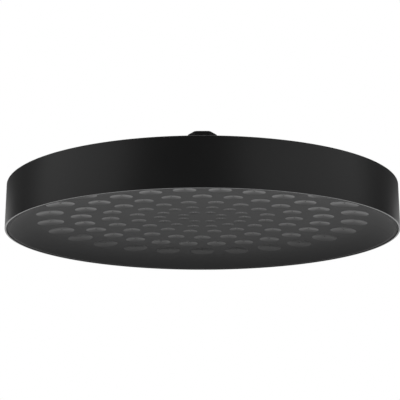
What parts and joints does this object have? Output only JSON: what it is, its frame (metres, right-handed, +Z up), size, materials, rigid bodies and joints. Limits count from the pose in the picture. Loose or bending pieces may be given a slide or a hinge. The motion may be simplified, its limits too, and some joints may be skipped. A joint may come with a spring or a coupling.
{
  "type": "rain shower head",
  "caption": "Round flat drum that sprays water straight down through nozzles in a dished face, hung from a threaded inlet by a ball joint.",
  "frame": {"origin": "on the axis at the mouth of the inlet thread", "axes": "+Z up along the inlet's axis, away from the spray; -Y towards the viewer of the picture"},
  "size_m": [0.36, 0.36, 0.099],
  "materials": {
    "matt_black": "matt black coating",
    "graphite": "fine matt moulding",
    "nozzle_rubber": "soft satin silicone",
    "chamber_plastic": "plain moulding",
    "seal_rubber": "black seal rubber",
    "bearing_plastic": "smooth bearing plastic",
    "steel": "bright steel",
    "regulator_plastic": "smooth moulding"
  },
  "bodies": {
    "stem": {"ball_stem": "matt_black", "inlet_washer": "seal_rubber", "strainer": "steel", "flow_regulator": "regulator_plastic", "regulator_ring": "seal_rubber"},
    "slip ring": {"slip_ring": "bearing_plastic"},
    "head": {"housing": "matt_black", "neck": "matt_black", "collar_nut": "matt_black", "spray_face": "graphite", "nozzle_mat": "nozzle_rubber", "chamber_cover": "chamber_plastic", "rim_gasket": "seal_rubber", "chamber_seal": "seal_rubber", "spigot_seal": "seal_rubber", "neck_gasket": "seal_rubber", "seat_washer": "seal_rubber", "ball_seal": "seal_rubber", "ball_seat": "bearing_plastic", "chamber_screws": "steel"}
  },
  "joints": [
    {"name": "swivel", "type": "hinge", "parent": "stem", "child": "slip ring", "pos_m": [0, 0, -0.032], "axis": [0, 0, 1], "continuous": true},
    {"name": "tilt", "type": "hinge", "parent": "slip ring", "child": "head", "pos_m": [0, 0, -0.032], "axis": [1, 0, 0], "range_deg": [-15, 15]}
  ]
}
